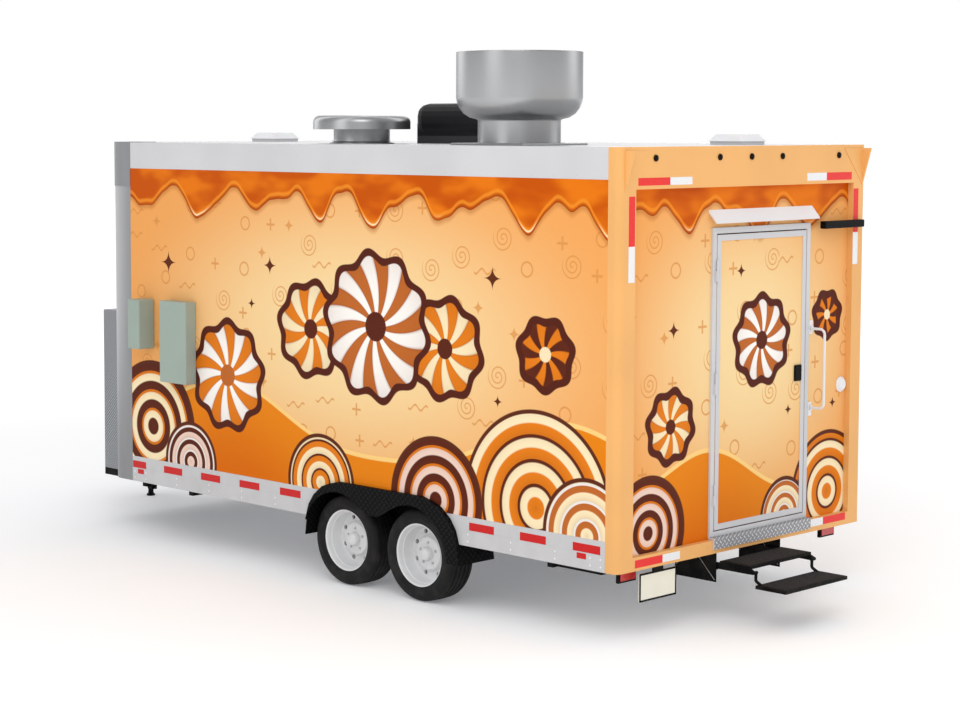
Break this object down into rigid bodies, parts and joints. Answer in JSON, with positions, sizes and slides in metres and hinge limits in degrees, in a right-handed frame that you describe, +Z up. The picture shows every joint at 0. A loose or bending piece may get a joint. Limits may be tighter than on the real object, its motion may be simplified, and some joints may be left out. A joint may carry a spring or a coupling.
{
  "type": "food trailer",
  "caption": "Box-bodied food trailer on tandem axles, parked on its tongue jack, with rear door and folding step, serving hatch, front cabinet and roof exhaust fan.",
  "frame": {"origin": "on the ground at the middle of the overall length and width", "axes": "+X forwards to the coupler, +Y to the left side, +Z up"},
  "size_m": [7.172, 2.773, 3.645],
  "materials": {
    "axle_front": "black paint",
    "axle_rear": "black paint",
    "cabinet_door_left": "bright sheet",
    "cabinet_door_right": "bright sheet",
    "chassis": "black paint",
    "counter_shelf": "bright sheet",
    "coupler": "black paint",
    "door_frame": "bright sheet",
    "door_latch": "black",
    "drip_cap": "white paint",
    "exhaust_fan": "bright sheet",
    "fender_left": "black tread plate",
    "fender_right": "black tread plate",
    "floor": "grey sheet and rail",
    "front_cabinet": "bright sheet",
    "front_corner_left": "grey casting and sheet",
    "front_corner_right": "grey casting and sheet",
    "grab_handle": "white paint",
    "mushroom_vent": "bright sheet",
    "number_plate": "blank, white in a black frame",
    "rear_bar_lamp": "black",
    "rear_door": "printed wrap film, plain motif",
    "rear_frame": "satin tan paint",
    "roof": "grey sheet and rail",
    "roof_cooler": "black",
    "roof_lid_front": "white paint",
    "roof_lid_rear": "white paint",
    "service_box_large": "pale green-grey paint",
    "service_box_small": "pale green-grey paint",
    "serving_hatch": "printed wrap film, plain motif",
    "serving_window": "bright sheet",
    "step_frame": "black paint",
    "step_lower": "black paint",
    "step_upper": "black paint",
    "tail_lamp_left": "red lens in black",
    "tail_lamp_right": "red lens in black",
    "tongue": "black paint",
    "tongue_jack": "black paint",
    "tyre_front_left": "plain black rubber",
    "tyre_front_right": "plain black rubber",
    "tyre_rear_left": "plain black rubber",
    "tyre_rear_right": "plain black rubber",
    "wall_front": "grey sheet",
    "wall_left": "printed wrap film, plain motif",
    "wall_rear": "printed wrap film, plain motif",
    "wall_right": "printed wrap film, plain motif",
    "wheel_front_left": "silver paint on steel",
    "wheel_front_right": "silver paint on steel",
    "wheel_rear_left": "silver paint on steel",
    "wheel_rear_right": "silver paint on steel",
    "window_glass": "clear"
  },
  "bodies": {
    "trailer": {"axle_front": "axle_front", "axle_rear": "axle_rear", "chassis": "chassis", "coupler": "coupler", "door_frame": "door_frame", "drip_cap": "drip_cap", "exhaust_fan": "exhaust_fan", "fender_left": "fender_left", "fender_right": "fender_right", "floor": "floor", "front_cabinet": "front_cabinet", "front_corner_left": "front_corner_left", "front_corner_right": "front_corner_right", "grab_handle": "grab_handle", "mushroom_vent": "mushroom_vent", "number_plate": "number_plate", "rear_bar_lamp": "rear_bar_lamp", "rear_frame": "rear_frame", "roof": "roof", "roof_cooler": "roof_cooler", "service_box_large": "service_box_large", "service_box_small": "service_box_small", "serving_window": "serving_window", "step_frame": "step_frame", "step_upper": "step_upper", "tail_lamp_left": "tail_lamp_left", "tail_lamp_right": "tail_lamp_right", "tongue": "tongue", "tongue_jack": "tongue_jack", "wall_front": "wall_front", "wall_left": "wall_left", "wall_rear": "wall_rear", "wall_right": "wall_right", "window_glass": "window_glass"},
    "rear_door": {"rear_door": "rear_door", "door_latch": "door_latch"},
    "serving_hatch": {"serving_hatch": "serving_hatch"},
    "counter_shelf": {"counter_shelf": "counter_shelf"},
    "roof_lid_front": {"roof_lid_front": "roof_lid_front"},
    "roof_lid_rear": {"roof_lid_rear": "roof_lid_rear"},
    "cabinet_door_left": {"cabinet_door_left": "cabinet_door_left"},
    "cabinet_door_right": {"cabinet_door_right": "cabinet_door_right"},
    "step_lower": {"step_lower": "step_lower"},
    "wheel_front_left": {"wheel_front_left": "wheel_front_left", "tyre_front_left": "tyre_front_left"},
    "wheel_front_right": {"wheel_front_right": "wheel_front_right", "tyre_front_right": "tyre_front_right"},
    "wheel_rear_left": {"wheel_rear_left": "wheel_rear_left", "tyre_rear_left": "tyre_rear_left"},
    "wheel_rear_right": {"wheel_rear_right": "wheel_rear_right", "tyre_rear_right": "tyre_rear_right"}
  },
  "joints": [
    {"name": "wheel_front_left_spin", "type": "hinge", "parent": "trailer", "child": "wheel_front_left", "pos_m": [-0.609, 1.0775, 0.313], "axis": [0, 1, 0], "continuous": true},
    {"name": "wheel_front_right_spin", "type": "hinge", "parent": "trailer", "child": "wheel_front_right", "pos_m": [-0.609, -1.1865, 0.313], "axis": [0, 1, 0], "continuous": true},
    {"name": "wheel_rear_left_spin", "type": "hinge", "parent": "trailer", "child": "wheel_rear_left", "pos_m": [-1.318, 1.0775, 0.313], "axis": [0, 1, 0], "continuous": true},
    {"name": "wheel_rear_right_spin", "type": "hinge", "parent": "trailer", "child": "wheel_rear_right", "pos_m": [-1.318, -1.1865, 0.313], "axis": [0, 1, 0], "continuous": true},
    {"name": "rear_door_hinge", "type": "hinge", "parent": "trailer", "child": "rear_door", "pos_m": [-3.055, 0.2595, 1.5], "axis": [0, 0, -1], "range_deg": [0, 120]},
    {"name": "serving_hatch_hinge", "type": "hinge", "parent": "trailer", "child": "serving_hatch", "pos_m": [-0.134, -1.3645, 2.335], "axis": [-1, 0, 0], "range_deg": [0, 90]},
    {"name": "counter_shelf_hinge", "type": "hinge", "parent": "trailer", "child": "counter_shelf", "pos_m": [-0.134, -1.3578, 1.34], "axis": [-1, 0, 0], "range_deg": [0, 90]},
    {"name": "roof_lid_front_hinge", "type": "hinge", "parent": "trailer", "child": "roof_lid_front", "pos_m": [1.686, -0.0545, 3.0673], "axis": [0, 1, 0], "range_deg": [0, 60]},
    {"name": "roof_lid_rear_hinge", "type": "hinge", "parent": "trailer", "child": "roof_lid_rear", "pos_m": [-2.444, -0.5545, 3.0673], "axis": [0, 1, 0], "range_deg": [0, 60]},
    {"name": "cabinet_door_left_hinge", "type": "hinge", "parent": "trailer", "child": "cabinet_door_left", "pos_m": [2.6243, 0.7955, 1], "axis": [0, 0, 1], "range_deg": [0, 110]},
    {"name": "cabinet_door_right_hinge", "type": "hinge", "parent": "trailer", "child": "cabinet_door_right", "pos_m": [2.6243, -0.9045, 1], "axis": [0, 0, -1], "range_deg": [0, 110]},
    {"name": "step_lower_hinge", "type": "hinge", "parent": "trailer", "child": "step_lower", "pos_m": [-3.334, -0.1045, 0.36], "axis": [0, 1, 0], "range_deg": [0, 180]}
  ]
}
